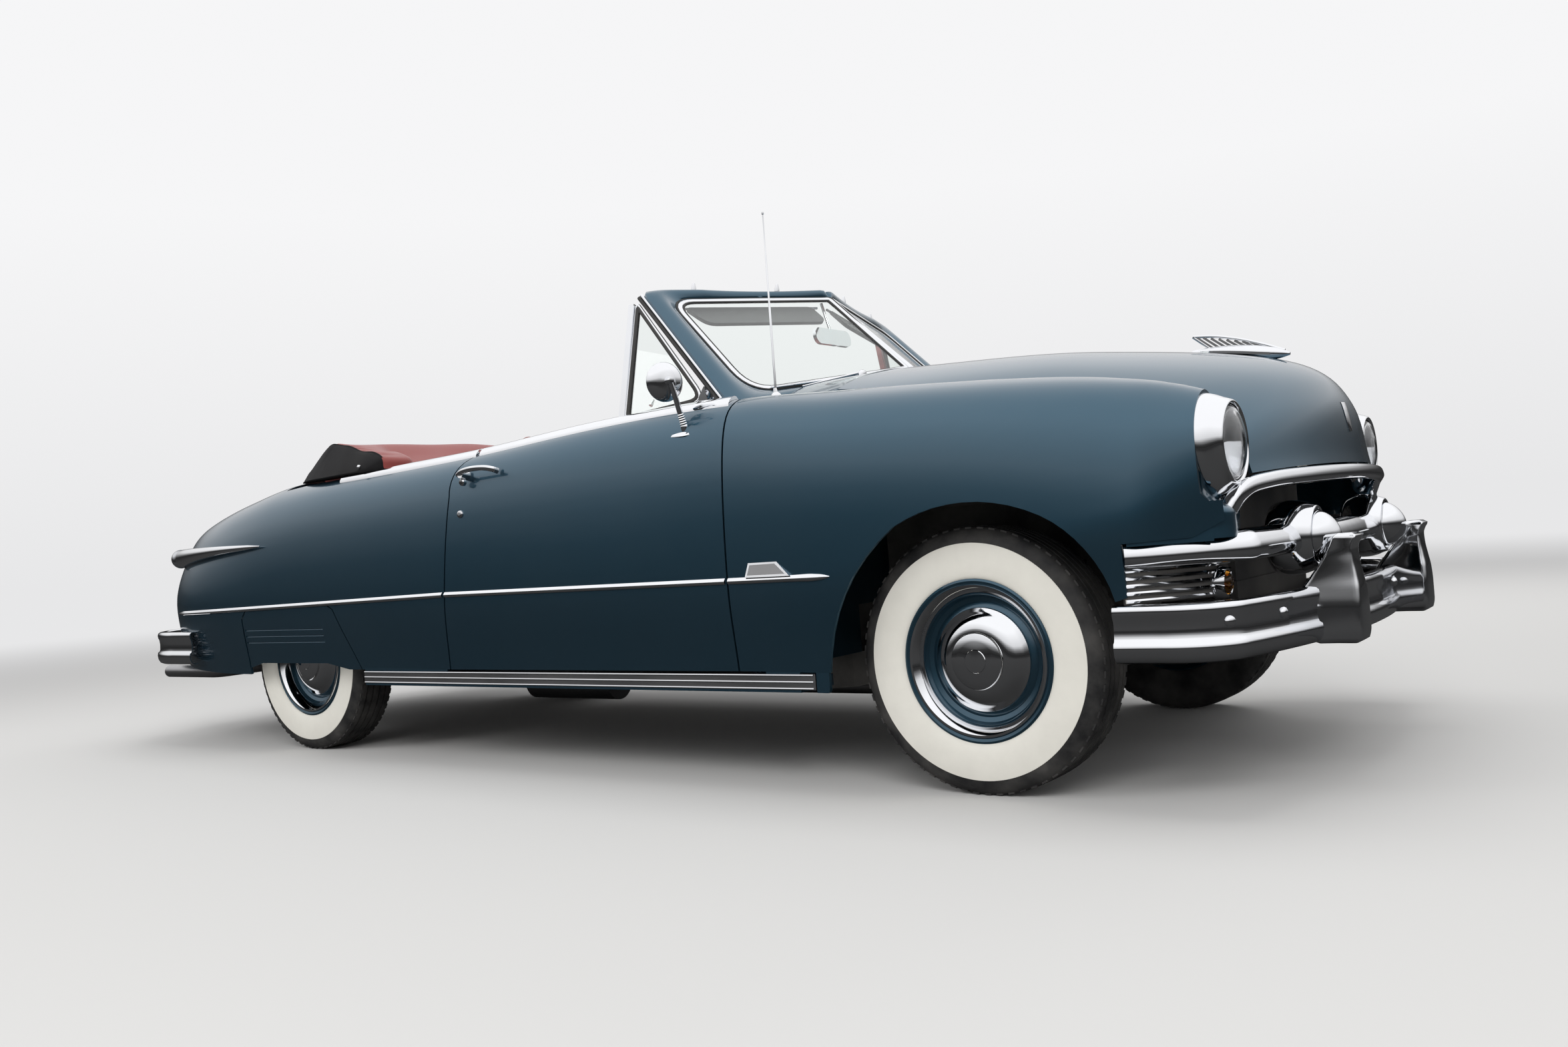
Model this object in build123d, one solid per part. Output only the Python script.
from build123d import *
import os
from math import cos, hypot, radians, sin, tan

# A two-door convertible car of the early 1950s with its top folded down.
# Millimetres. +X forward, +Y to the car's left, +Z up. The origin is on the ground under the middle of the car.

# Overall layout
WHEELBASE = 2896
TRACK = 1422
FRONT_AXLE_X = 1644.5
REAR_AXLE_X = FRONT_AXLE_X - WHEELBASE
WHEEL_Z = 340

# Clearances
PANEL_GAP = 6
SEAT_GAP = 0.3
PIN_GAP = 0.3

# Wheels and tyres
TYRE_R = 340
TYRE_WIDTH = 170
TYRE_BULGE_R = 278
TREAD_HALF = 60
BEAD_HALF = 60
RIM_R = 200
DRUM_R = 150
HUBCAP_R = 132
HUBCAP_DEPTH = 42
HUB_BORE_R = 18
WHEEL_FACE = 22

# Body panels
PANEL_T = 24
DOOR_INNER_Y = 785
HOOD_HALF_WIDTH = 634
FENDER_EDGE_Y = HOOD_HALF_WIDTH + PANEL_GAP
DECK_HALF_WIDTH = FENDER_EDGE_Y
HOOD_REAR_X = 1187
HOOD_FRONT_X = 2296
HOOD_TAPER = 60
COWL_REAR_X = 880
COWL_REAR_HALF_WIDTH = 767

# Side of the body, one row per station along the car.
# Columns: x, inner edge y and z, crown y and z, shoulder y and z, widest point y and z, lower edge y and z.
SIDE = [
    (2285, 580, 872, 690, 940, 770, 890, 790, 785, 768, 655),
    (2190, 585, 918, 705, 974, 802, 912, 838, 740, 822, 600),
    (2100, 590, 948, 722, 997, 830, 938, 885, 700, 870, 500),
    (1900, 601, 1000, 740, 1027, 850, 962, 903, 660, 882, 450),
    (1600, FENDER_EDGE_Y, 1042, 750, 1052, 858, 985, 907, 620, 883, 330),
    (1250, FENDER_EDGE_Y, 1072, 765, 1071, 862, 1005, 908, 595, 884, 322),
    (957.5, FENDER_EDGE_Y, 1090, 800, 1082, 866, 1022, 908, 585, 884, 325),
    (400, FENDER_EDGE_Y, 1092, 822, 1062, 868, 1004, 909, 580, 884, 325),
    (-235, FENDER_EDGE_Y, 1060, 822, 1026, 868, 974, 909, 580, 884, 325),
    (-900, FENDER_EDGE_Y, 1050, 818, 1008, 866, 945, 908, 580, 882, 322),
    (-1310, FENDER_EDGE_Y, 1044, 790, 1000, 856, 925, 905, 585, 876, 300),
    (-1600, FENDER_EDGE_Y, 1000, 765, 968, 838, 895, 899, 590, 868, 300),
    (-1900, FENDER_EDGE_Y, 940, 738, 915, 806, 838, 876, 600, 846, 310),
    (-2100, FENDER_EDGE_Y, 888, 706, 864, 762, 785, 828, 605, 798, 335),
    (-2240, FENDER_EDGE_Y, 812, 664, 796, 690, 722, 712, 605, 690, 430),
]

# Doors
DOOR_FRONT_X = 954.5
DOOR_BOTTOM_Z = 325
HINGE_SETBACK = 45
HINGE_Y = 862
HINGE_X = DOOR_FRONT_X - HINGE_SETBACK
HINGE_PIN_R = 8
HINGE_HEIGHTS = (460, 900)
HINGE_NOTCH = 60

# Frame rails, columns: x, centre y, centre z
RAIL = [
    (2230, 360, 400),
    (1900, 360, 385),
    (1400, 360, 325),
    (1060, 440, 275),
    (880, 560, 275),
    (-640, 560, 275),
    (-900, 505, 495),
    (-1600, 505, 495),
    (-1740, 505, 405),
    (-2230, 505, 405),
]
RAIL_W = 60
RAIL_H = 100
CROSS_MEMBERS = [2150, 900, 100, -560, -1560, -2150]

# Holes for a tow hitch in the rear cross member
HITCH_X = CROSS_MEMBERS[-1]
HITCH_DX = 40
HITCH_DY = 200
HITCH_R = 6.5

# Floor
FLOOR_T = 20
FLOOR_HALF_WIDTH = 730
REAR_FLOOR_HALF_WIDTH = 560
CABIN_FLOOR_Z = 345
FLOOR_TOP = [(1170, 500), (1040, 345), (-620, 345), (-860, 565), (-1640, 565), (-1760, 475), (-2420, 475)]
TUNNEL_SPLIT_X = -860
TUNNEL_R = 110
TUNNEL_T = 14
TUNNEL_Z = 350

# Steering
KINGPIN_Y = TRACK / 2 - 111
KINGPIN_R = 12
LOWER_ARM_TOP = 221
UPPER_ARM_BOTTOM = 471
STEER_ARM_X = -150
STEER_ARM_Z = 245
STEER_PIN_R = 8
TIE_ROD_Z = STEER_ARM_Z - 2
COLUMN_Y = 380
COLUMN_ANGLE = 30
STEERING_WHEEL_X = 437
STEERING_WHEEL_Z = 964
STEERING_WHEEL_R = 215
STEERING_RIM_R = 11

# Front end
HEADLAMP_Y = 681
HEADLAMP_Z = 830
HEADLAMP_R = 99.8
LAMP_BACK_X = 2240
BULLET_X = 2270
BULLET_Y = 380
BULLET_Z = 595
BULLET_R = 92
GUARD_Y = 409
BUMPER_T = 24
BUMPER_LIP = 14

parts = {}


def block(x0, x1, y0, y1, z0, z1):
    return Pos((x0 + x1) / 2, (y0 + y1) / 2, (z0 + z1) / 2) * Box(x1 - x0, y1 - y0, z1 - z0)


def outline(points, place):
    """Closed wire through points. A point written as (middle, end) is an arc through middle to end."""
    edges = []
    here = points[0]
    for item in points[1:] + [points[0]]:
        if isinstance(item[0], tuple):
            middle, end = item
            edges.append(Edge.make_three_point_arc(place(*here), place(*middle), place(*end)))
        else:
            end = item
            if end == here:
                continue
            edges.append(Edge.make_line(place(*here), place(*end)))
        here = end
    return Wire(edges)


def side_prism(points, y0, y1):
    """Outline in x and z, extruded from y0 to y1."""
    face = Face(outline(points, lambda x, z: Vector(x, y0, z)))
    return extrude(face, amount=y1 - y0, dir=(0, 1, 0))


def plan_prism(points, z0, z1):
    """Outline in x and y, extruded from z0 to z1."""
    face = Face(outline(points, lambda x, y: Vector(x, y, z0)))
    return extrude(face, amount=z1 - z0, dir=(0, 0, 1))


def front_prism(points, x0, x1):
    """Outline in y and z, extruded from x0 to x1."""
    face = Face(outline(points, lambda y, z: Vector(x0, y, z)))
    return extrude(face, amount=x1 - x0, dir=(1, 0, 0))


def rod(start, end, radius):
    start, end = Vector(*start), Vector(*end)
    length = (end - start).length
    return Plane(origin=(start + end) / 2, z_dir=end - start) * Cylinder(radius, length)


def ball(centre, radius):
    return Pos(*centre) * Sphere(radius)


def turned(points, axis):
    """Half profile in radius and height, turned about the axis."""
    plane = Plane(origin=axis.position, z_dir=axis.direction)
    face = Face(outline(points, lambda r, h: plane.from_local_coords(Vector(r, 0, h))))
    return revolve(face, axis=axis)


def both_sides(shape):
    return Compound([shape, mirror(shape, about=Plane.XZ)])


def mirrored(shape):
    return mirror(shape, about=Plane.XZ)


# Body side

def hood_side(x):
    """Half width of the hood, which narrows towards the lamps."""
    return HOOD_HALF_WIDTH - HOOD_TAPER * (x - HOOD_REAR_X) / (HOOD_FRONT_X - HOOD_REAR_X)


def arc_height(first, middle, last, x):
    """Height at x of the upper arc through three points."""
    (x1, z1), (x2, z2), (x3, z3) = first, middle, last
    d = 2 * (x1 * (z2 - z3) + x2 * (z3 - z1) + x3 * (z1 - z2))
    s1, s2, s3 = x1 * x1 + z1 * z1, x2 * x2 + z2 * z2, x3 * x3 + z3 * z3
    cx = (s1 * (z2 - z3) + s2 * (z3 - z1) + s3 * (z1 - z2)) / d
    cz = (s1 * (x3 - x2) + s2 * (x1 - x3) + s3 * (x2 - x1)) / d
    r = hypot(x1 - cx, z1 - cz)
    return cz + (r * r - (x - cx) ** 2) ** 0.5


def station(x):
    """Row of the side table at x, between its rows by straight lines."""
    for ahead, behind in zip(SIDE, SIDE[1:]):
        if ahead[0] >= x >= behind[0]:
            t = (ahead[0] - x) / (ahead[0] - behind[0])
            row = [a + (b - a) * t for a, b in zip(ahead, behind)]
            if x > HOOD_REAR_X:
                row[1] = hood_side(x) + PANEL_GAP
            return row
    raise ValueError("no body side at this place")


def stations(x_front, x_rear):
    inner = [row[0] for row in SIDE if x_rear < row[0] < x_front]
    return [station(x) for x in [x_front] + inner + [x_rear]]


def panel_section(row, outer, inner):
    """Thin section of the left body side, between two depths under the skin: fender top, shoulder and side."""
    x, edge_y, edge_z, crown_y, crown_z, shoulder_y, shoulder_z, wide_y, wide_z, sill_y, sill_z = row
    a, b = outer, inner
    points = [
        (edge_y, edge_z - a),
        ((crown_y - 0.3 * a, crown_z - a), (shoulder_y - 0.8 * a, shoulder_z - 0.8 * a)),
        ((wide_y - a, wide_z), (sill_y - a, sill_z)),
        (sill_y - b, sill_z),
        ((wide_y - b, wide_z), (shoulder_y - 0.8 * b, shoulder_z - 0.8 * b)),
        ((crown_y - 0.3 * b, crown_z - b), (edge_y, edge_z - b)),
    ]
    return outline(points, lambda y, z: Vector(x, y, z))


def filled_section(row):
    """Section of the left body side, filled in to the inner edge."""
    x, edge_y, edge_z, crown_y, crown_z, shoulder_y, shoulder_z, wide_y, wide_z, sill_y, sill_z = row
    points = [
        (edge_y, edge_z),
        ((crown_y, crown_z), (shoulder_y, shoulder_z)),
        ((wide_y, wide_z), (sill_y, sill_z)),
        (edge_y, sill_z),
    ]
    return outline(points, lambda y, z: Vector(x, y, z))


def panel_wall(x_front, x_rear, outer, inner):
    return Solid.make_loft([panel_section(row, outer, inner) for row in stations(x_front, x_rear)], ruled=True)


def filled_side(x_front, x_rear, inner_y=0):
    """Solid side from the skin in to a flat wall at inner_y."""
    body = Solid.make_loft([filled_section(row) for row in stations(x_front, x_rear)], ruled=True)
    return body & block(x_rear - 1, x_front + 1, inner_y, 1000, 0, 1200) if inner_y else body


def door_sweep():
    """Space that the front edge of the left door turns through, with its clearance."""
    reach = hypot(HINGE_SETBACK, 909 - HINGE_Y) + 5.5
    return Pos(HINGE_X, HINGE_Y, 700) * Cylinder(reach, 900)


# Front fender

ARCH = [
    (1258, 200),
    ((1345, 535), (1500, 692)),
    ((1690, 740), (1900, 695)),
    ((2010, 600), (2062, 420)),
    (2062, 200),
]
CHIN_X = 2085
FENDER_CHIN = [(CHIN_X, 300), (CHIN_X, 640), (2400, 640), (2400, 300)]
SPLASH_X = 1192
GUTTER_STATIONS = [1190, 1400, 1600, 1800, 2000, 2140]
GUTTER_T = 12
APRON_Y = 430
APRON_T = 12
APRON_FOOT_Z = 430
APRON_BEND_Z = 738


def gutter_height(x):
    """Top of the gutter, just under the edge of the hood."""
    y, rear_z, mid_x, mid_z, brow_x, brow_z = HOOD[-1][:6]
    under = [(HOOD_REAR_X, rear_z - PANEL_T), (mid_x, mid_z - PANEL_T), (brow_x - 0.6 * PANEL_T, brow_z - PANEL_T)]
    return arc_height(*under, x) - SEAT_GAP


def gutter():
    """Ledge along the inner edge of the fender, which the hood rests on."""
    sections = []
    for x in GUTTER_STATIONS:
        y0, y1, z = hood_side(x) - 28, hood_side(x) + PANEL_GAP + 8, gutter_height(x)
        corners = [(y0, z - GUTTER_T), (y1, z - GUTTER_T), (y1, z), (y0, z)]
        sections.append(outline(corners, lambda a, b: Vector(x, a, b)))
    return Solid.make_loft(sections, ruled=True)


def front_fender():
    wall = panel_wall(SIDE[1][0], DOOR_FRONT_X + PANEL_GAP, 0, PANEL_T)
    cap = filled_side(SIDE[0][0], SIDE[1][0])
    back = LAMP_BACK_X - SEAT_GAP
    lamp_seat = rod((back, HEADLAMP_Y, HEADLAMP_Z), (2400, HEADLAMP_Y, HEADLAMP_Z), HEADLAMP_R + SEAT_GAP)
    splash = block(SPLASH_X, SPLASH_X + 14, 760, 886, 335, 985)
    body = wall + cap + splash
    body -= lamp_seat
    body -= side_prism(ARCH, 780, 1000)
    body -= side_prism(FENDER_CHIN, 500, 1000)
    body -= door_sweep()
    return body + gutter()


def apron():
    """Inner wheel house wall beside the engine, up to the gutter."""
    sections = []
    for x in (GUTTER_STATIONS[0] + 4, GUTTER_STATIONS[-2]):
        top = min(gutter_height(GUTTER_STATIONS[0] + 4), gutter_height(x)) - GUTTER_T - SEAT_GAP
        y = hood_side(x) - 26
        corners = [
            (APRON_Y, APRON_FOOT_Z),
            (APRON_Y + APRON_T, APRON_FOOT_Z),
            (APRON_Y + APRON_T, APRON_BEND_Z),
            (y + APRON_T, top),
            (y, top),
            (APRON_Y, APRON_BEND_Z + APRON_T),
        ]
        sections.append(outline(corners, lambda a, b: Vector(x, a, b)))
    wall = Solid.make_loft(sections, ruled=True)
    return wall - block(FRONT_AXLE_X - 165, FRONT_AXLE_X + 165, 400, 480, 400, 570)


# Doors

DOOR_OUTLINE = [
    (DOOR_FRONT_X, DOOR_BOTTOM_Z),
    (DOOR_FRONT_X, 1200),
    (-130, 1200),
    (-130, 1030),
    ((-196, 985), (-216, 900)),
    (-276, DOOR_BOTTOM_Z),
]


def door():
    slab = filled_side(DOOR_FRONT_X + 1, -300, DOOR_INNER_Y)
    body = slab & side_prism(DOOR_OUTLINE, 700, 1000)
    for z in HINGE_HEIGHTS:
        body -= block(HINGE_X - 25, 1000, HINGE_Y - 90, HINGE_Y + 14, z - HINGE_NOTCH / 2, z + HINGE_NOTCH / 2)
        body -= Pos(HINGE_X, HINGE_Y, z) * Cylinder(HINGE_PIN_R + PIN_GAP, HINGE_NOTCH + 40)
    return body


def hinge(z):
    """Fixed half of a door hinge: pin, strap round the front of the door and its foot on the pillar."""
    height = HINGE_NOTCH - 14
    pin = Pos(HINGE_X, HINGE_Y, z) * Cylinder(HINGE_PIN_R, HINGE_NOTCH + 30)
    barrel = Pos(HINGE_X, HINGE_Y, z) * Cylinder(13, height)
    inward = block(HINGE_X - 6, HINGE_X + 6, PILLAR_Y1 - 36, HINGE_Y, z - height / 2, z + height / 2)
    forward = block(HINGE_X - 6, PILLAR_X0 + 2, PILLAR_Y1 - 36, PILLAR_Y1 - 24, z - height / 2, z + height / 2)
    return pin + barrel + inward + forward


FIREWALL_X0 = 1170
FIREWALL_X1 = 1181
PILLAR_X0 = 968
PILLAR_X1 = 1050
PILLAR_Y0 = FLOOR_HALF_WIDTH
PILLAR_Y1 = PILLAR_Y0 + 70
PILLAR_TOP_Z = 1030
KICK_PANEL_T = 12
SILL_SHELF_Z = 300


# Cowl

COWL_MIDDLE_Z = 1187
COWL_SIDE_Z = 1086


def cowl_section(half_width, top_drop, thickness):
    """Crowned strip across the car under the windscreen, part of one large circle."""
    y1 = HOOD_HALF_WIDTH - 1

    def height(y):
        return arc_height((-y1, COWL_SIDE_Z), (0, COWL_MIDDLE_Z), (y1, COWL_SIDE_Z), y) - top_drop

    return [
        (-half_width, height(half_width)),
        ((0, height(0)), (half_width, height(half_width))),
        (half_width, height(half_width) - thickness),
        ((0, height(0) - thickness), (-half_width, height(half_width) - thickness)),
    ]


def cowl(surround):
    top = front_prism(cowl_section(HOOD_HALF_WIDTH - 1, 0, PANEL_T), DOOR_FRONT_X, HOOD_REAR_X - PANEL_GAP)
    top += front_prism(cowl_section(COWL_REAR_HALF_WIDTH, 0, PANEL_T), COWL_REAR_X, DOOR_FRONT_X)
    top += front_prism(cowl_section(HOOD_HALF_WIDTH - 1, 0, PANEL_T), DOOR_FRONT_X - 1, DOOR_FRONT_X + 10)
    y1 = HOOD_HALF_WIDTH - 1
    floor_z = FLOOR_TOP[0][1]
    firewall = block(FIREWALL_X0, FIREWALL_X1, -y1 + 5, y1 - 5, floor_z - FLOOR_T, COWL_SIDE_Z - 6)
    body = top + firewall
    side = block(PILLAR_X0, PILLAR_X1, PILLAR_Y0, PILLAR_Y1, SILL_SHELF_Z, PILLAR_TOP_Z)
    side += block(PILLAR_X1 - 2, FIREWALL_X0, PILLAR_Y0, PILLAR_Y0 + KICK_PANEL_T, CABIN_FLOOR_Z, PILLAR_TOP_Z - 10)
    side += block(FIREWALL_X0, FIREWALL_X1, y1 - 33, PILLAR_Y0 + 32, CABIN_FLOOR_Z, PILLAR_TOP_Z)
    side += block(PILLAR_X0, FIREWALL_X1, y1 - 33, PILLAR_Y1, PILLAR_TOP_Z - KICK_PANEL_T, PILLAR_TOP_Z)
    side += block(PILLAR_X0, FIREWALL_X1, y1 - 33, y1, PILLAR_TOP_Z - KICK_PANEL_T, COWL_SIDE_Z - 1)
    for z in HINGE_HEIGHTS:
        side += hinge(z)
    return body + side + mirrored(side) - surround


# Hood

# Side profile of the hood at three distances from the middle.
# Columns: y, rear z, middle x and z, brow x and z, nose middle x and z, lower edge x and z.
HOOD = [
    (0, 1187, 1800, 1148, 2296, 1043, 2370, 955, 2400, 775),
    (320, 1170, 1800, 1128, 2262, 1020, 2342, 935, 2376, 772),
    (HOOD_HALF_WIDTH, 1092, 1800, 1022, 2160, 938, 2262, 868, 2296, 758),
]


def hood_section(row, side):
    y, rear_z, mid_x, mid_z, brow_x, brow_z, nose_x, nose_z, low_x, low_z = row
    t = PANEL_T
    points = [
        (HOOD_REAR_X, rear_z),
        ((mid_x, mid_z), (brow_x, brow_z)),
        ((nose_x, nose_z), (low_x, low_z)),
        (low_x - t, low_z),
        ((nose_x - t, nose_z - 0.6 * t), (brow_x - 0.6 * t, brow_z - t)),
        ((mid_x, mid_z - t), (HOOD_REAR_X, rear_z - t)),
    ]
    share = y / HOOD_HALF_WIDTH
    return outline(points, lambda x, z: Vector(x, side * share * hood_side(x), z))


def hood():
    sections = [hood_section(row, -1) for row in reversed(HOOD[1:])] + [hood_section(row, 1) for row in HOOD]
    return Solid.make_loft(sections, ruled=True)


# Tail

# Profile of the deck at two distances from the middle.
# Columns: y, front z, middle x and z, brow x and z, tail middle x and z, tail x and z, lower x and z.
DECK_FRONT_X = -1316
DECK = [
    (0, 1078, -1850, 1002, -2225, 880, -2366, 745, -2412, 600, -2400, 440),
    (340, 1070, -1850, 990, -2205, 872, -2338, 742, -2380, 600, -2368, 440),
    (DECK_HALF_WIDTH, 1044, -1850, 950, -2120, 872, -2236, 740, -2268, 600, -2256, 440),
]
LID_FRONT_X = -1450
LID_HALF_WIDTH = 520
LID_BOTTOM_Z = 520
LEDGE_T = 8
LEDGE_WIDTH = 18


def deck_section(row, side, outer, inner):
    """Long section of the tail between two depths under its skin."""
    y, front_z, mid_x, mid_z, brow_x, brow_z, tail_x, tail_z, end_x, end_z, low_x, low_z = row
    a, b = outer, inner
    points = [
        (DECK_FRONT_X, front_z - a),
        ((mid_x, mid_z - a), (brow_x + 0.6 * a, brow_z - a)),
        ((tail_x + a, tail_z - 0.6 * a), (end_x + a, end_z)),
        (low_x + a, low_z),
        (low_x + b, low_z),
        (end_x + b, end_z),
        ((tail_x + b, tail_z - 0.6 * b), (brow_x + 0.6 * b, brow_z - b)),
        ((mid_x, mid_z - b), (DECK_FRONT_X, front_z - b)),
    ]
    return outline(points, lambda x, z: Vector(x, side * y, z))


def tail_shell(outer, inner):
    rows = [(row, -1) for row in reversed(DECK[1:])] + [(row, 1) for row in DECK]
    return Solid.make_loft([deck_section(row, side, outer, inner) for row, side in rows], ruled=True)


def lid_space(grow):
    return block(-2600, LID_FRONT_X + grow, -LID_HALF_WIDTH - grow, LID_HALF_WIDTH + grow, LID_BOTTOM_Z - grow, 1200)


def deck():
    """Deck and tail panel, with a ledge all round under the edge of the trunk lid."""
    panel = tail_shell(0, PANEL_T) - lid_space(PANEL_GAP)
    rim = tail_shell(PANEL_T - 4, PANEL_T + LEDGE_T) & (lid_space(PANEL_GAP + 10) - lid_space(PANEL_GAP))
    ledge = tail_shell(PANEL_T + SEAT_GAP, PANEL_T + LEDGE_T) & (lid_space(PANEL_GAP) - lid_space(-LEDGE_WIDTH))
    return panel + rim + ledge


# Quarter panels

# Corners of the rear wheel opening from the front foot over the top to the rear foot.
# Columns: x from the axle, z, how far the corner moves in x and in z for each millimetre of inset.
OPENING_CORNERS = [
    (494.5, 308, -1.1, 0),
    (365.5, 556, -1.1, -0.3),
    (321.5, 580, -0.5, -1),
    (-208.5, 580, 0.4, -1),
    (-248.5, 540, 1, -0.4),
]
SKIRT_FOOT = [(-248.5, 326), (-153.5, 345), (276.5, 345)]
SKIRT_SKIN = 10
QUARTER_FRONT_X = -60
QUARTER_T = 40
QUARTER_WHEEL_Y = TRACK / 2 + 139
QUARTER_POST_X = -1310


def door_space():
    """Space of the left door and the gap behind it."""
    foot_x = DOOR_OUTLINE[-1][0]
    space = side_prism([(DOOR_FRONT_X, 200)] + DOOR_OUTLINE[1:] + [(foot_x - 14, 200)], 700, 1000)
    return space + Pos(-PANEL_GAP - 2, 0, 0) * space + Pos(-PANEL_GAP, 0, PANEL_GAP) * space


def opening_outline(inset, foot):
    """Outline of the rear wheel opening, set in by a gap and closed at its foot."""
    corners = [(x + dx * inset, z + dz * inset) for x, z, dx, dz in OPENING_CORNERS]
    foot = [(x + inset, z) if x == foot[0][0] else (x, z) for x, z in foot]
    return [(REAR_AXLE_X + x, z) for x, z in corners + foot]


def quarter():
    """Rear side of the body: a thick wall beside the cabin, and a thinner one behind it, closed at the tail."""
    post = filled_side(QUARTER_FRONT_X, QUARTER_POST_X, DOOR_INNER_Y)
    wall = panel_wall(QUARTER_POST_X, SIDE[-2][0], 0, QUARTER_T)
    cap = filled_side(SIDE[-2][0], SIDE[-1][0])
    body = post + wall + cap
    body -= door_space()
    body -= rod((REAR_AXLE_X, 600, WHEEL_Z), (REAR_AXLE_X, QUARTER_WHEEL_Y, WHEEL_Z), WHEELHOUSE_R + SEAT_GAP)
    foot = [(OPENING_CORNERS[-1][0], 250), (OPENING_CORNERS[0][0], 250)]
    return body - side_prism(opening_outline(0, foot), 700, 1000)


def skirt():
    """Removable cover of the rear wheel: a thin skin, and behind it a backing that reaches the edge of the opening."""
    x_front, x_rear = REAR_AXLE_X + 511.5, REAR_AXLE_X - 258.5
    skin = panel_wall(x_front, x_rear, 0, SKIRT_SKIN) & side_prism(opening_outline(PANEL_GAP, SKIRT_FOOT), 700, 1000)
    backing = panel_wall(x_front, x_rear, SKIRT_SKIN, PANEL_T)
    return skin + (backing & side_prism(opening_outline(SEAT_GAP, SKIRT_FOOT), 700, 1000))


# Floor and wheel houses

WHEELHOUSE_R = 400
WHEELHOUSE_T = 12
REAR_FLOOR_Z = FLOOR_TOP[3][1]
ROCKER_FRONT_X = 1165
ROCKER_REAR_X = -750
ROCKER_Y = 884
ROCKER_Z = 268


def tunnel_space(grow):
    return rod((-840, 0, TUNNEL_Z), (1190, 0, TUNNEL_Z), TUNNEL_R + grow)


def trunk_floor_outline():
    """Outline of the rear floor from above, up to the inside of the tail panel."""
    half = [(low_x + PANEL_T + SEAT_GAP, y) for y, *profile, low_x, low_z in DECK]
    other = [(x, -y) for x, y in reversed(half[1:])]
    y1 = half[-1][1]
    return [(TUNNEL_SPLIT_X, -y1)] + other + half + [(TUNNEL_SPLIT_X, y1)]


def floor_pan():
    underside = [(x, z - FLOOR_T) for x, z in reversed(FLOOR_TOP)]
    profile = FLOOR_TOP + underside
    front_x = FLOOR_TOP[0][0]
    wide = side_prism(profile, -FLOOR_HALF_WIDTH, FLOOR_HALF_WIDTH)
    wide &= block(TUNNEL_SPLIT_X, front_x, -FLOOR_HALF_WIDTH, FLOOR_HALF_WIDTH, 0, 900)
    narrow = side_prism(profile, -REAR_FLOOR_HALF_WIDTH, REAR_FLOOR_HALF_WIDTH)
    narrow &= plan_prism(trunk_floor_outline(), 0, 900)
    cover = block(TUNNEL_SPLIT_X + 20, front_x - 2, -2 * TUNNEL_R, 2 * TUNNEL_R, CABIN_FLOOR_Z - 15, 2 * CABIN_FLOOR_Z)
    tunnel = tunnel_space(0) & cover
    return wide + narrow + tunnel - tunnel_space(-TUNNEL_T)


def rocker():
    """Sill under the door: a box, an inner flange beside the floor, and raised ends that carry the fender and quarter."""
    sill = block(ROCKER_REAR_X, ROCKER_FRONT_X, PILLAR_Y1, ROCKER_Y, ROCKER_Z, DOOR_BOTTOM_Z - PANEL_GAP - 1)
    sill += block(ROCKER_REAR_X, ROCKER_FRONT_X, PILLAR_Y0, PILLAR_Y1, ROCKER_Z, SILL_SHELF_Z)
    sill += block(ROCKER_REAR_X, PILLAR_X0 - PANEL_GAP, PILLAR_Y0, PILLAR_Y0 + 30, SILL_SHELF_Z - 1, CABIN_FLOOR_Z)
    for x0, x1 in ((ROCKER_REAR_X, DOOR_OUTLINE[-1][0] - 20), (PILLAR_X1, ROCKER_FRONT_X)):
        sill += block(x0, x1, PILLAR_Y1 + 2, ROCKER_Y, DOOR_BOTTOM_Z - PANEL_GAP - 2, DOOR_BOTTOM_Z + 10)
    return sill - parts["quarter_left"] - parts["front_fender_left"]


def wheelhouse():
    """Arch over the rear tyre, closed towards the trunk."""
    y0, y1 = REAR_FLOOR_HALF_WIDTH + SEAT_GAP, QUARTER_WHEEL_Y
    outer = rod((REAR_AXLE_X, y0, WHEEL_Z), (REAR_AXLE_X, y1, WHEEL_Z), WHEELHOUSE_R)
    inner = rod((REAR_AXLE_X, y0 + WHEELHOUSE_T, WHEEL_Z), (REAR_AXLE_X, y1 + 1, WHEEL_Z), WHEELHOUSE_R - WHEELHOUSE_T)
    reach = WHEELHOUSE_R + 1
    above = block(REAR_AXLE_X - reach, REAR_AXLE_X + reach, y0, y1, REAR_FLOOR_Z - FLOOR_T, WHEEL_Z + reach)
    return (outer - inner) & above


# Frame and running gear

SPRING_SEAT_Y = 460
COILS = 7
COIL_R = 50
COIL_CORE_R = 34
COIL_WIRE = 16
CROSS_TOP = 30
CROSS_BOTTOM = 40
SPRING_Y = 505
SPRING_TOP_Z = 305
HANGER_T = 30
LEAF_T = 11
LEAF_REACH = (400, 290, 170)
SPRING_FRONT_X = REAR_AXLE_X + 489.5
SPRING_REAR_X = REAR_AXLE_X - 598.5
GEARBOX_X = 900
TRUNK_FLOOR_Z = FLOOR_TOP[-1][1]
TANK_FRONT_X = REAR_AXLE_X - 400
TANK_REAR_X = REAR_AXLE_X - 850
TANK_HALF_WIDTH = 380
EXHAUST_Y = -300
EXHAUST_Z = 205
EXHAUST_R = 26
SILENCER_R = 62
TAILPIPE_X = -2440
TAILPIPE_Y = -700
TAILPIPE_Z = 286


def rail():
    sections = []
    for x, y, z in RAIL:
        half_w, half_h = RAIL_W / 2, RAIL_H / 2
        corners = [(y - half_w, z - half_h), (y + half_w, z - half_h), (y + half_w, z + half_h), (y - half_w, z + half_h)]
        sections.append(outline(corners, lambda a, b: Vector(x, a, b)))
    return Solid.make_loft(sections, ruled=True)


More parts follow.
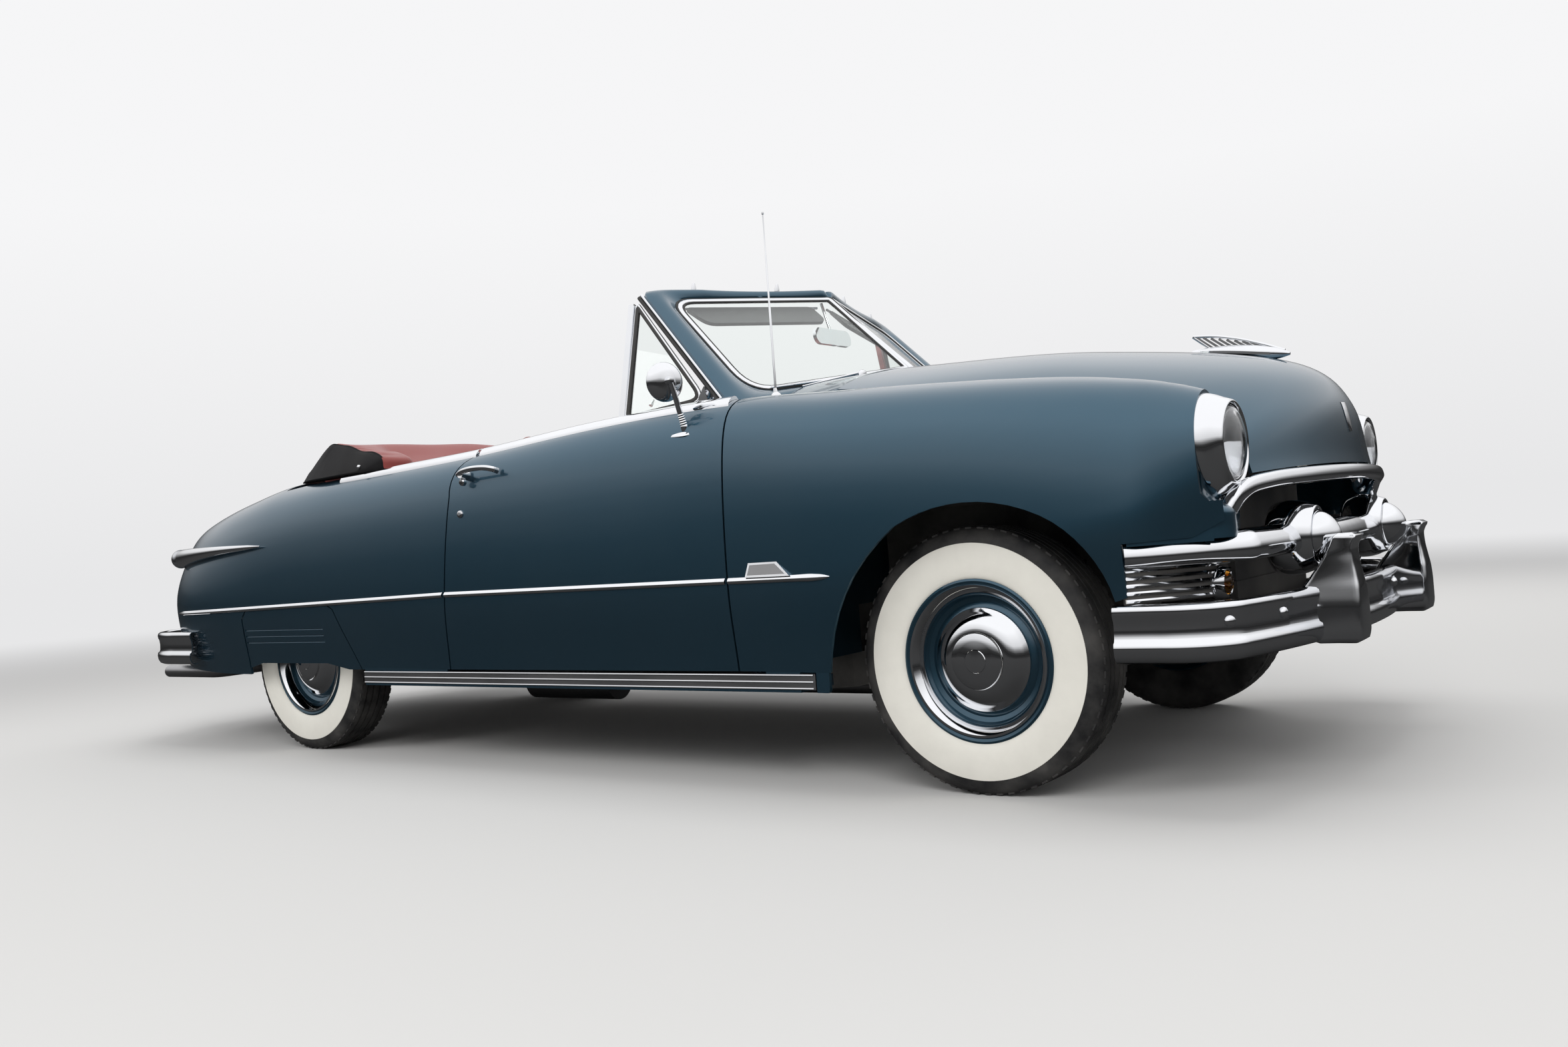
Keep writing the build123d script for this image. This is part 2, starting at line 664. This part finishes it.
def rail_at(x):
    for ahead, behind in zip(RAIL, RAIL[1:]):
        if ahead[0] >= x >= behind[0]:
            t = (ahead[0] - x) / (ahead[0] - behind[0])
            return ahead[1] + (behind[1] - ahead[1]) * t, ahead[2] + (behind[2] - ahead[2]) * t


def frame():
    body = rail()
    body += mirrored(body)
    for x in CROSS_MEMBERS:
        y, z = rail_at(x)
        body += block(x - 35, x + 35, -y, y, z - CROSS_BOTTOM, z + CROSS_TOP)
    for x in (-1, 1):
        for y in (-1, 1):
            body -= Pos(HITCH_X + x * HITCH_DX / 2, y * HITCH_DY / 2, 400) * Cylinder(HITCH_R, 200)
    x0, x1 = SPRING_REAR_X + 2, SPRING_FRONT_X - 2
    y0, y1 = SPRING_Y - 25, SPRING_Y + 25
    hangers = block(x1 - HANGER_T, x1, y0, y1, SPRING_TOP_Z, 420) + block(x0, x0 + HANGER_T, y0, y1, SPRING_TOP_Z, 370)
    return body + hangers + mirrored(hangers)


# Blocks of the engine, columns: rear x, front x, half width, bottom z, top z.
# In turn: cylinder block, head, sump, bell housing, gearbox in the tunnel and mounts on the rails.
ENGINE_BLOCKS = [
    (1290, 1960, 150, 400, 860),
    (1330, 1930, 110, 855, 960),
    (1330, 1800, 110, 300, 405),
    (FIREWALL_X1 + 11, 1295, 170, 360, 720),
    (GEARBOX_X, FIREWALL_X1 + 14, 60, TUNNEL_Z - 44, TUNNEL_Z + 60),
    (1460, 1520, RAIL[1][1] - RAIL_W / 2, 345, 405),
]


def engine():
    """One plain mass for the engine, its gearbox and its mounts."""
    blocks = [block(x0, x1, -half, half, z0, z1) for x0, x1, half, z0, z1 in ENGINE_BLOCKS]
    return blocks[0].fuse(*blocks[1:])


def radiator():
    """Core and tanks, standing on the front cross member between the rails."""
    x, half_width = CROSS_MEMBERS[0] - 15, RAIL[0][1] - RAIL_W / 2 - SEAT_GAP
    z0 = rail_at(CROSS_MEMBERS[0])[1] + CROSS_TOP
    core = block(x - 25, x + 25, -half_width + 12, half_width - 12, z0 + 60, 850)
    tanks = block(x - 30, x + 30, -half_width, half_width, z0, z0 + 62) + block(x - 30, x + 30, -half_width, half_width, 848, 900)
    return core + tanks


def fuel_tank():
    top = TRUNK_FLOOR_Z - FLOOR_T
    lower = block(TANK_REAR_X, TANK_FRONT_X, -TANK_HALF_WIDTH, TANK_HALF_WIDTH, top - 165, top - 70)
    upper = block(TANK_REAR_X + 10, TANK_FRONT_X - 10, 10 - TANK_HALF_WIDTH, TANK_HALF_WIDTH - 10, top - 72, top)
    return lower + upper


def exhaust():
    """Pipe with silencer under the floor, over the rear axle and out behind the right rear wheel."""
    y, z = EXHAUST_Y, EXHAUST_Z
    route = [
        (1250, y, z),
        (-660, y, z),
        (REAR_AXLE_X + 170, y - 120, WHEEL_Z + 90),
        (REAR_AXLE_X - 180, y - 120, WHEEL_Z + 90),
        (SPRING_REAR_X - 20, y - 120, TAILPIPE_Z + 14),
        (SPRING_REAR_X - 190, TAILPIPE_Y, TAILPIPE_Z),
        (TAILPIPE_X, TAILPIPE_Y, TAILPIPE_Z),
    ]
    path = FilletPolyline(*route, radius=80)
    pipe = sweep(Plane(origin=path @ 0, z_dir=path % 0) * Circle(EXHAUST_R), path=path)
    silencer = rod((CROSS_MEMBERS[2] - 170, y, z), (CROSS_MEMBERS[3] + 60, y, z), SILENCER_R)
    body = pipe + silencer
    for x in CROSS_MEMBERS[2:4]:
        body += block(x - 12, x + 12, y - 10, y + 10, z + EXHAUST_R - 6, rail_at(x)[1] - CROSS_BOTTOM)
    return body


def front_suspension():
    """Cross member, and on each side the lower and upper arm, the coil spring and the kingpin."""
    x, y1 = FRONT_AXLE_X, RAIL[1][1] - RAIL_W / 2
    arm_end = KINGPIN_Y + 12
    ends = [(-y1, 225), (y1, 225), (y1, 345), (y1 - 80, 345), (y1 - 130, 295), (130 - y1, 295), (80 - y1, 345), (-y1, 345)]
    cross = front_prism(ends, x - 60, x + 60)
    pin = rod((x, KINGPIN_Y, LOWER_ARM_TOP - 21), (x, KINGPIN_Y, UPPER_ARM_BOTTOM + 19), KINGPIN_R)
    wishbone = [(x - 145, 310), (x - 145, 340), (x - 17, arm_end), (x + 17, arm_end), (x + 145, 340), (x + 145, 310)]
    lower = plan_prism(wishbone, LOWER_ARM_TOP - 26, LOWER_ARM_TOP)
    lower -= plan_prism([(x - 92, 352), (x - 26, 400), (x + 26, 400), (x + 92, 352)], 0, 900)
    lower += block(x - 65, x + 65, 300, y1 - 1, LOWER_ARM_TOP - 26, 232)
    upper = plan_prism([(x - 85, 380), (x - 17, arm_end), (x + 17, arm_end), (x + 85, 380)], UPPER_ARM_BOTTOM, UPPER_ARM_BOTTOM + 24)
    spring = rod((x, SPRING_SEAT_Y, LOWER_ARM_TOP - 1), (x, SPRING_SEAT_Y, UPPER_ARM_BOTTOM + 1), COIL_CORE_R)
    pitch = (UPPER_ARM_BOTTOM - LOWER_ARM_TOP) / COILS
    for k in range(COILS):
        z = LOWER_ARM_TOP + (k + 0.5) * pitch
        spring += rod((x, SPRING_SEAT_Y, z - COIL_WIRE / 2), (x, SPRING_SEAT_Y, z + COIL_WIRE / 2), COIL_R)
    tower = block(x - 40, x + 40, y1 + 6, 404, 360, UPPER_ARM_BOTTOM + 12) - rail()
    side = pin + lower + upper + spring + tower
    return cross + side + mirrored(side)


def rear_axle():
    x, end = REAR_AXLE_X, TRACK / 2
    tube = rod((x, 89 - end, WHEEL_Z), (x, end - 89, WHEEL_Z), 40)
    stub = rod((x, 11 - end, WHEEL_Z), (x, end - 11, WHEEL_Z), HUB_BORE_R)
    case = turned([(0, -70), (95, -70), ((140, 0), (95, 70)), (0, 70)], Axis((x, 0, WHEEL_Z), (0, 1, 0)))
    torque_tube = rod((x + 60, 0, WHEEL_Z), (GEARBOX_X, 0, TUNNEL_Z), 38)
    torque_tube -= block(GEARBOX_X, GEARBOX_X + 40, -50, 50, 250, 450)
    springs = block(SPRING_REAR_X, SPRING_FRONT_X, SPRING_Y - 27, SPRING_Y + 27, SPRING_TOP_Z - LEAF_T, SPRING_TOP_Z)
    for k, reach in enumerate(LEAF_REACH):
        top = SPRING_TOP_Z - (k + 1) * LEAF_T
        springs += block(x - reach, x + reach, SPRING_Y - 27, SPRING_Y + 27, top - LEAF_T, top)
    return tube + stub + case + torque_tube + springs + mirrored(springs)


# Steering

def knuckle():
    upright = rod(
        (FRONT_AXLE_X, KINGPIN_Y, LOWER_ARM_TOP + PIN_GAP), (FRONT_AXLE_X, KINGPIN_Y, UPPER_ARM_BOTTOM - PIN_GAP), 28
    )
    upright -= Pos(FRONT_AXLE_X, KINGPIN_Y, WHEEL_Z) * Cylinder(KINGPIN_R + PIN_GAP, 300)
    spindle = rod((FRONT_AXLE_X, KINGPIN_Y + 24, WHEEL_Z), (FRONT_AXLE_X, TRACK / 2 - 11, WHEEL_Z), HUB_BORE_R)
    end = (FRONT_AXLE_X + STEER_ARM_X, KINGPIN_Y)
    arm = plan_prism(
        [
            (FRONT_AXLE_X - 20, KINGPIN_Y + 16),
            (FRONT_AXLE_X - 20, KINGPIN_Y - 16),
            (end[0], end[1] - 14),
            (end[0], end[1] + 14),
        ],
        STEER_ARM_Z + 12,
        STEER_ARM_Z + 30,
    )
    pin = Pos(end[0], end[1], STEER_ARM_Z) * Cylinder(STEER_PIN_R, 34)
    return upright + spindle + arm + pin


def tie_rod():
    x, y = FRONT_AXLE_X + STEER_ARM_X, KINGPIN_Y
    bar = rod((x, -y + 18, TIE_ROD_Z), (x, y - 18, TIE_ROD_Z), 11)
    for side in (-1, 1):
        bar += Pos(x, side * y, TIE_ROD_Z) * Cylinder(20, 22)
        bar -= Pos(x, side * y, TIE_ROD_Z) * Cylinder(STEER_PIN_R + PIN_GAP, 60)
    return bar


COLUMN_DIR = Vector(cos(radians(COLUMN_ANGLE)), 0, -sin(radians(COLUMN_ANGLE)))
HUB_DEPTH = 50
COLUMN_R = 24
STEERING_CENTRE = Vector(STEERING_WHEEL_X, COLUMN_Y, STEERING_WHEEL_Z)


def along_column(distance):
    return STEERING_CENTRE + COLUMN_DIR * distance


def steering_wheel():
    plane = Plane(origin=STEERING_CENTRE, x_dir=(0, 1, 0), z_dir=-COLUMN_DIR)
    rim = plane * Torus(STEERING_WHEEL_R, STEERING_RIM_R)
    hub = plane * Pos(0, 0, -HUB_DEPTH / 2 - 5) * Cylinder(34, HUB_DEPTH)
    spokes = plane * Pos(0, 0, -14) * Box(2 * STEERING_WHEEL_R - 14, 26, 12)
    return rim + hub + spokes


def steering_column():
    """Jacket tube from behind the wheel to the firewall, with the bracket that hangs it from the dashboard."""
    tube = rod(along_column(HUB_DEPTH + 5 + PIN_GAP), along_column(FIREWALL_X0), COLUMN_R)
    tube -= block(FIREWALL_X0, FIREWALL_X0 + 2000, 0, 2 * COLUMN_Y, -2000, 2000)
    drop = (DASH_X0 + DASH_X1) / 2
    column_z = STEERING_WHEEL_Z - (drop - STEERING_WHEEL_X) * tan(radians(COLUMN_ANGLE))
    return tube + block(drop - 12, drop + 12, COLUMN_Y - 18, COLUMN_Y + 18, column_z, DASH_LOW_Z)


# Wheels

def tyre(x, side):
    """Plain tyre: bead, bulged side wall and flat tread."""
    steps = [(RIM_R + 1, BEAD_HALF), (TYRE_BULGE_R, TYRE_WIDTH / 2), (TYRE_R, TREAD_HALF)]
    profile = [(r, -h) for r, h in steps] + [(r, h) for r, h in reversed(steps)]
    return turned(profile, Axis((x, side * TRACK / 2, WHEEL_Z), (0, side, 0)))


def wheel(x, side):
    """Pressed wheel with brake drum and stepped hubcap, its outer face at positive height."""
    face = WHEEL_FACE
    profile = [
        (HUB_BORE_R + PIN_GAP, -60),
        (DRUM_R, -60),
        (DRUM_R, 2),
        (RIM_R - 26, 2),
        (RIM_R - 26, -62),
        (RIM_R, -66),
        (RIM_R, 66),
        (RIM_R - 9, 70),
        (RIM_R - 17, 58),
        (RIM_R - 26, face + 6),
        (RIM_R - 48, face - 8),
        (HUBCAP_R + 4, face),
        (HUBCAP_R, face + 10),
        (0.9 * HUBCAP_R, face + 20),
        (0.68 * HUBCAP_R, face + 27),
        (0.54 * HUBCAP_R, face + 28),
        (0.5 * HUBCAP_R, face + 35),
        (0.3 * HUBCAP_R, face + HUBCAP_DEPTH),
        (0, face + HUBCAP_DEPTH + 2),
        (0, 10),
        (HUB_BORE_R + PIN_GAP, 10),
    ]
    return turned(profile, Axis((x, side * TRACK / 2, WHEEL_Z), (0, side, 0)))


# Windscreen

GLASS_T = 6
POST_R = 22
HEADER_R = 18
SCREEN = {
    "post_low": (936, 748, 1045),
    "post_top": (548, 665, 1468),
    "top_mid": (742, 0, 1504),
    "sill_mid": (1064, 0, 1196),
    "sill_side": (930, 610, 1124),
}


def windscreen_frame():
    low, top, top_mid = SCREEN["post_low"], SCREEN["post_top"], SCREEN["top_mid"]
    sill_mid, sill_side = SCREEN["sill_mid"], SCREEN["sill_side"]
    half = rod(low, top, POST_R) + ball(top, POST_R) + rod(top, top_mid, HEADER_R) + rod(sill_side, sill_mid, 9)
    half += rod(low, sill_side, 12)
    divider = rod(sill_mid, top_mid, 10) + ball(top_mid, HEADER_R)
    return half + mirrored(half) + divider


def windscreen_glass(surround):
    corners = [Vector(*SCREEN[name]) for name in ("sill_mid", "top_mid", "post_top")]
    normal = (corners[1] - corners[0]).cross(corners[2] - corners[0]).normalized()
    side = Vector(*SCREEN["sill_side"])
    side -= normal * (side - corners[0]).dot(normal)
    points = corners + [side]
    face = Face(Wire.make_polygon(points))
    pane = extrude(face, amount=GLASS_T / 2, dir=normal) + extrude(face, amount=GLASS_T / 2, dir=-normal)
    pane -= surround
    return Compound([pane, mirrored(pane)])


ANTENNA_X = 1051
ANTENNA_Y = -745
ANTENNA_BASE_R = 14


def antenna():
    """Mast in its round base, which stands in a hole in the right fender."""
    mast = rod((ANTENNA_X, ANTENNA_Y, 1090), (ANTENNA_X, ANTENNA_Y, 1608), 3)
    return mast + rod((ANTENNA_X, ANTENNA_Y, 1050), (ANTENNA_X, ANTENNA_Y, 1094), ANTENNA_BASE_R)


def antenna_space():
    return rod((ANTENNA_X, ANTENNA_Y, 1000), (ANTENNA_X, ANTENNA_Y, 1140), ANTENNA_BASE_R + SEAT_GAP)


# Vent windows

VENT = {"rear_low": (520, 800, 1062), "rear_top": (514, 708, 1430), "front": (800, 762, 1105), "front_low": (800, 795, 1075)}


def vent_window():
    rear_low, rear_top, front = VENT["rear_low"], VENT["rear_top"], VENT["front"]
    ring = rod(rear_low, rear_top, 8) + rod(rear_top, front, 8) + ball(rear_top, 8) + ball(front, 8)
    ring += rod(front, VENT["front_low"], 8)
    corners = [Vector(*rear_low), Vector(*rear_top), Vector(*front)]
    normal = (corners[1] - corners[0]).cross(corners[2] - corners[0]).normalized()
    pane = extrude(Face(Wire.make_polygon(corners)), amount=2, dir=normal)
    return ring + pane


# Inside

DASH_X0 = 862
DASH_X1 = 952
DASH_LOW_Z = 880
DASH_HALF_WIDTH = 720


def dashboard(surround):
    """Face of the dashboard under the cowl, closed at its ends by the hinge pillars."""
    y = DASH_HALF_WIDTH
    profile = cowl_section(y, PANEL_T + SEAT_GAP, 0)[:2] + [(y, DASH_LOW_Z), (-y, DASH_LOW_Z)]
    return front_prism(profile, DASH_X0, DASH_X1) - surround


def front_seat():
    base = block(20, 470, -600, 600, CABIN_FLOOR_Z + SEAT_GAP, 460)
    top = 460 + SEAT_GAP
    cushion = side_prism([(0, top), (500, top), ((540, 520), (500, 620)), (40, 600), (0, 560)], -660, 660)
    back_front = [(-SEAT_GAP, top), (-SEAT_GAP, 560), (40 - SEAT_GAP, 600 + SEAT_GAP)]
    back = side_prism(back_front + [(-70, 1080), ((-115, 1122), (-160, 1080)), (-120, top)], -660, 660)
    return base + cushion + back - tunnel_space(1)


def rear_seat():
    rise = FLOOR_TOP[2:4]
    (x0, z0), (x1, z1) = [(x, z + SEAT_GAP) for x, z in rise]
    cushion = side_prism([(x1, z1), (x0, z0), (-425, z0), (-412, 470), ((-398, 540), (-440, 600)), (-820, 590)], -550, 550)
    back = side_prism([(x1, z1), (-820, 588), (-735, 1000), ((-790, 1040), (-850, 1010)), (-990, z1)], -550, 550)
    return cushion + back - tunnel_space(1)


# Boot over the folded top

BOOT_HALF_WIDTH = 815
BOOT_LOW_Z = 1030


def top_boot():
    """Cover over the folded top: a roll behind the rear seat and an arm forward along each side of the cabin."""
    roll = [(-890, BOOT_LOW_Z), ((-960, 1140), (-1100, 1165)), ((-1240, 1150), (-1308, BOOT_LOW_Z))]
    middle = side_prism(roll, -BOOT_HALF_WIDTH, BOOT_HALF_WIDTH)
    arm_profile = [(-668, BOOT_LOW_Z), (-668, 1062), ((-860, 1120), (-1060, 1160)), (-1060, BOOT_LOW_Z)]
    arm = side_prism(arm_profile, 620, BOOT_HALF_WIDTH)
    return middle + arm + mirrored(arm) - parts["quarter_left"] - parts["quarter_right"]


# Front trim

WING_Z0 = 560
WING_Z1 = 632
LAMP_Y = 650
LAMP_Z = 508
LAMP_R = 34
LAMP_PANEL_Z0 = 478
RIBS = 5
RIB_DEPTH = 7


def grille_surround():
    leg_low, leg_top = (2262, 712, 660), (2300, 650, 712)
    bend = (2330, 560, 728)
    bar = rod(leg_low, leg_top, 19) + ball(leg_top, 19) + rod(leg_top, bend, 19) + ball(bend, 19)
    arc = Edge.make_three_point_arc(Vector(*bend), Vector(2418, 0, 735), Vector(bend[0], -bend[1], bend[2]))
    face = Face(Wire.make_circle(19, Plane(origin=arc @ 0, z_dir=arc % 0)))
    return bar + mirrored(bar) + sweep(face, path=arc)


# Outline of the wing bar from above.
WING_TIP = (2100, 882)
WING_SHOULDER = (2330, 690)
WING_PLAN = [
    (WING_TIP[0], -WING_TIP[1]),
    ((2215, -800), (WING_SHOULDER[0], -WING_SHOULDER[1])),
    ((2394, 0), WING_SHOULDER),
    ((2215, 800), WING_TIP),
    (CHIN_X + SEAT_GAP, 855),
    ((2190, 778), (2296, 680)),
    ((2354, 0), (2296, -680)),
    ((2190, -778), (CHIN_X + SEAT_GAP, -855)),
]
# Half profile of a bullet: nacelle, its open lip, and the spinner inside it.
BULLET = [
    (0, 0),
    (0.8 * BULLET_R, 0),
    ((0.98 * BULLET_R, 26), (BULLET_R, 60)),
    ((0.95 * BULLET_R, 90), (0.82 * BULLET_R, 116)),
    (0.73 * BULLET_R, 116),
    (0.73 * BULLET_R, 108),
    (0.67 * BULLET_R, 108),
    ((0.55 * BULLET_R, 142), (0.2 * BULLET_R, 164)),
    (4, 169),
    (0, 169),
]


def grille_bar():
    """Wing-shaped bar across the mouth with a bullet on each side."""
    bar = plan_prism(WING_PLAN, WING_Z0, WING_Z1)
    for side in (-1, 1):
        bar += turned(BULLET, Axis((BULLET_X, side * BULLET_Y, BULLET_Z), (1, 0, 0)))
    return bar


def lamp_panel():
    """Panel under the outer end of the wing bar with ribs along it, and the hole for the parking lamp."""
    x0 = CHIN_X + SEAT_GAP
    inner = [(2218, 598), (2204, 694), (2152, 774), (x0, 848)]
    valley = [(x0, 872 - RIB_DEPTH), (2168 - RIB_DEPTH, 786), (2222 - RIB_DEPTH, 704), (2238 - RIB_DEPTH, 600)]
    crest = [(x0, 872), (2168, 786), (2222, 704), (2238, 600)]
    panel = plan_prism(valley + inner, LAMP_PANEL_Z0, WING_Z0)
    pitch = (WING_Z0 - LAMP_PANEL_Z0) / RIBS
    for k in range(RIBS):
        z = LAMP_PANEL_Z0 + k * pitch
        panel += plan_prism(crest + inner, z, z + pitch / 2)
    return panel - rod((2180, LAMP_Y, LAMP_Z), (2280, LAMP_Y, LAMP_Z), LAMP_R + SEAT_GAP)


FIN_SLOTS = 5


def hood_ornament():
    """Blade with slots on a slim teardrop base, between two short wings, along the middle of the hood."""
    blade = side_prism([(1985, 1112), (1992, 1170), (2060, 1164), (2250, 1090), (2250, 1058)], -5, 5)
    for k in range(FIN_SLOTS):
        x = 2030 + 24 * k
        blade -= side_prism([(x, 1136), (x - 8, 1150 - 4 * k), (x + 4, 1150 - 4 * k), (x + 12, 1136)], -9, 9)
    base = [(0, 0), (8, 2), (22, 100), (22, 200), (12, 262), (0, 276)]
    wings = plan_prism([(2040, 0), (2020, 40), (2080, 56), (2150, 48), (2215, 0), (2150, -48), (2080, -56), (2020, -40)], 1108, 1115)
    body = blade + turned(base, Axis((1980, 0, 1126), (275, 0, -41))) + wings
    return body - Pos(0, 0, SEAT_GAP) * parts["hood"]


# Half profile of a headlamp from its back: body, bezel rolled inwards, and the dome of the glass.
HEADLAMP = [
    (0, 0),
    (HEADLAMP_R, 0),
    (HEADLAMP_R, 46),
    ((HEADLAMP_R - 2, 54), (HEADLAMP_R - 9, 57)),
    (HEADLAMP_R - 14, 52),
    ((0.5 * HEADLAMP_R, 66), (8, 70)),
    (0, 70),
]


def front_lamps():
    pieces = []
    for side in (-1, 1):
        axis = Axis((LAMP_BACK_X, side * HEADLAMP_Y, HEADLAMP_Z), (1, 0, 0))
        pieces.append(turned(HEADLAMP, axis))
        pieces.append(rod((2196, side * LAMP_Y, LAMP_Z), (2246, side * LAMP_Y, LAMP_Z), LAMP_R))
    return Compound(pieces)


# Columns: centre x, y and z, radius. The spear starts at a point on the quarter and ends in the lamp.
TAIL_SPEAR = [
    (-1340, 898, 795, 4),
    (-1600, 892, 793, 17),
    (-1800, 868, 788, 26),
    (-1960, 838, 782, 34),
    (-2080, 806, 776, 39),
    (-2140, 794, 773, 30),
    (-2156, 790, 772, 12),
]


def tail_lamps():
    """Spear along the quarter with the lamp in its rear end."""
    rings = []
    for x, y, z, radius in TAIL_SPEAR:
        rings.append(Wire.make_circle(radius, Plane(origin=(x, y, z), x_dir=(0, 1, 0), z_dir=(-1, 0, 0))))
    lamp = Solid.make_loft(rings, ruled=True) - parts["quarter_left"]
    return both_sides(lamp)


def bumper_bar(half, z0, z1):
    """Bar bent round the car. The half outline runs from its tip to the middle: tip, bend start, bend, middle."""
    def around(depth):
        (tip_x, tip_y), (start_x, start_y), (bend_x, bend_y), (end_x, end_y), middle_x = half
        sign = 1 if middle_x > 0 else -1
        ring = [(tip_x, depth - tip_y), (start_x, depth - start_y)]
        ring.append(((bend_x - sign * 0.7 * depth, 0.7 * depth - bend_y), (end_x - sign * depth, 0.6 * depth - end_y)))
        ring.append(((middle_x - sign * depth, 0), (end_x - sign * depth, end_y - 0.6 * depth)))
        ring.append(((bend_x - sign * 0.7 * depth, bend_y - 0.7 * depth), (start_x, start_y - depth)))
        ring.append((tip_x, tip_y - depth))
        return ring

    outer, inner = around(0), around(BUMPER_T)
    back = [inner[5], inner[4][1], (inner[4][0], inner[3][1]), (inner[3][0], inner[2][1]), (inner[2][0], inner[1]), inner[0]]
    middle = plan_prism(outer + back, z0 + BUMPER_LIP, z1 - BUMPER_LIP)
    ring = around(BUMPER_LIP / 2)
    return middle + plan_prism(ring + back, z0, z1)


# Columns: z, back x, outer x, half width.
FRONT_GUARD = [
    (341, 2392, 2440, 36),
    (390, 2392, 2463, 62),
    (480, 2416, 2463, 44),
    (560, 2440, 2484, 36),
    (600, 2452, 2499.5, 40),
]
REAR_GUARD = [
    (341, -2446, -2470, 36),
    (390, -2446, -2496, 54),
    (480, -2446, -2499.5, 42),
    (590, -2440, -2470, 32),
]


def bumper_guard(rows):
    """Upright with a rounded outer face, its waist narrower than its foot."""
    sections = []
    for z, back_x, outer_x, half in rows:
        side_x = (back_x + outer_x) / 2
        points = [(back_x, -half), (side_x, -half), ((outer_x, 0), (side_x, half)), (back_x, half)]
        sections.append(outline(points, lambda a, b: Vector(a, b, z)))
    return Solid.make_loft(sections, ruled=True)


def front_bumper():
    """Bar, a pair of guards that flare forward at the top, and the irons back to the frame."""
    bar = bumper_bar([(2051, 885), (2150, 880), (2262, 852), (2318, 790), 2432], 345, 478)
    guard = bumper_guard(FRONT_GUARD)
    irons = block(RAIL[0][0], 2410, -30, 30, 385, 435)
    for side in (-1, 1):
        bar += Pos(0, side * GUARD_Y, 0) * guard
        bar += Pos(0, side * RAIL[0][1], 0) * irons
    return bar


def rear_bumper():
    """Bar round the tail, its pair of guards and the irons to the frame."""
    bar = bumper_bar([(-1880, 906), (-2200, 896), (-2392, 862), (-2462, 770), -2494], 342, 462)
    guard = bumper_guard(REAR_GUARD)
    irons = block(-2475, RAIL[-1][0], -30, 30, 380, 430)
    for side in (-1, 1):
        bar += Pos(0, side * GUARD_Y, 0) * guard
        bar += Pos(0, side * RAIL[-1][1], 0) * irons
    return bar


def door_hardware():
    """Pull handle and round mirror on its stalk, both on the skin of the door."""
    handle = rod((-148, 898, 972), (26, 902, 972), 9) + ball((-148, 898, 972), 9) + ball((26, 902, 972), 9)
    handle += block(-136, -112, 860, 898, 963, 981) + block(0, 24, 860, 898, 963, 981)
    axis = Axis((762, 900, 1148), (1, 0, 0))
    head = turned([(0, 0), (48, 0), (50, 6), ((34, 24), (8, 30)), (0, 30)], axis)
    stalk = rod((792, 858, 1004), (778, 894, 1112), 6)
    return Compound([handle - parts["door_left"], head + stalk - parts["door_left"]])


def write_all():
    os.makedirs("parts", exist_ok=True)
    parts["front_fender_left"] = front_fender()
    parts["front_fender_right"] = mirrored(parts["front_fender_left"]) - antenna_space()
    parts["door_left"] = door()
    parts["door_right"] = mirrored(parts["door_left"])
    surround = windscreen_frame()
    parts["windscreen_glass"] = windscreen_glass(surround)
    parts["cowl"] = cowl(surround) - parts["windscreen_glass"]
    parts["aprons"] = both_sides(apron())
    parts["hood"] = hood()
    parts["trunk_lid"] = tail_shell(0, PANEL_T) & lid_space(0)
    parts["deck"] = deck()
    parts["quarter_left"] = quarter()
    parts["quarter_right"] = mirrored(parts["quarter_left"])
    parts["fender_skirts"] = both_sides(skirt())
    parts["floor_pan"] = floor_pan()
    parts["rockers"] = both_sides(rocker())
    parts["rear_wheelhouses"] = both_sides(wheelhouse())
    parts["frame"] = frame()
    parts["engine"] = engine()
    parts["radiator"] = radiator()
    parts["fuel_tank"] = fuel_tank()
    parts["exhaust"] = exhaust()
    parts["front_suspension"] = front_suspension()
    parts["rear_axle"] = rear_axle()
    parts["knuckle_left"] = knuckle()
    parts["knuckle_right"] = mirrored(parts["knuckle_left"])
    parts["tie_rod"] = tie_rod()
    parts["steering_wheel"] = steering_wheel()
    parts["steering_column"] = steering_column()
    for name, x, side in (
        ("front_right", FRONT_AXLE_X, -1),
        ("front_left", FRONT_AXLE_X, 1),
        ("rear_right", REAR_AXLE_X, -1),
        ("rear_left", REAR_AXLE_X, 1),
    ):
        parts["tyre_" + name] = tyre(x, side)
        parts["wheel_" + name] = wheel(x, side)
    parts["windscreen_frame"] = surround
    parts["antenna"] = antenna()
    parts["vent_window_left"] = vent_window() - parts["door_left"]
    parts["vent_window_right"] = mirrored(parts["vent_window_left"])
    parts["dashboard"] = dashboard(surround)
    parts["front_seat"] = front_seat()
    parts["rear_seat"] = rear_seat()
    parts["top_boot"] = top_boot()
    parts["grille_surround"] = grille_surround() - parts["front_fender_left"] - parts["front_fender_right"]
    parts["grille_bar"] = grille_bar()
    parts["lamp_panels"] = both_sides(lamp_panel())
    parts["front_lamps"] = front_lamps()
    parts["hood_ornament"] = hood_ornament()
    parts["tail_lamps"] = tail_lamps()
    parts["front_bumper"] = front_bumper()
    parts["rear_bumper"] = rear_bumper()
    parts["door_hardware_left"] = door_hardware()
    parts["door_hardware_right"] = mirrored(parts["door_hardware_left"])
    for name, shape in parts.items():
        export_step(shape, "parts/" + name + ".step")


write_all()
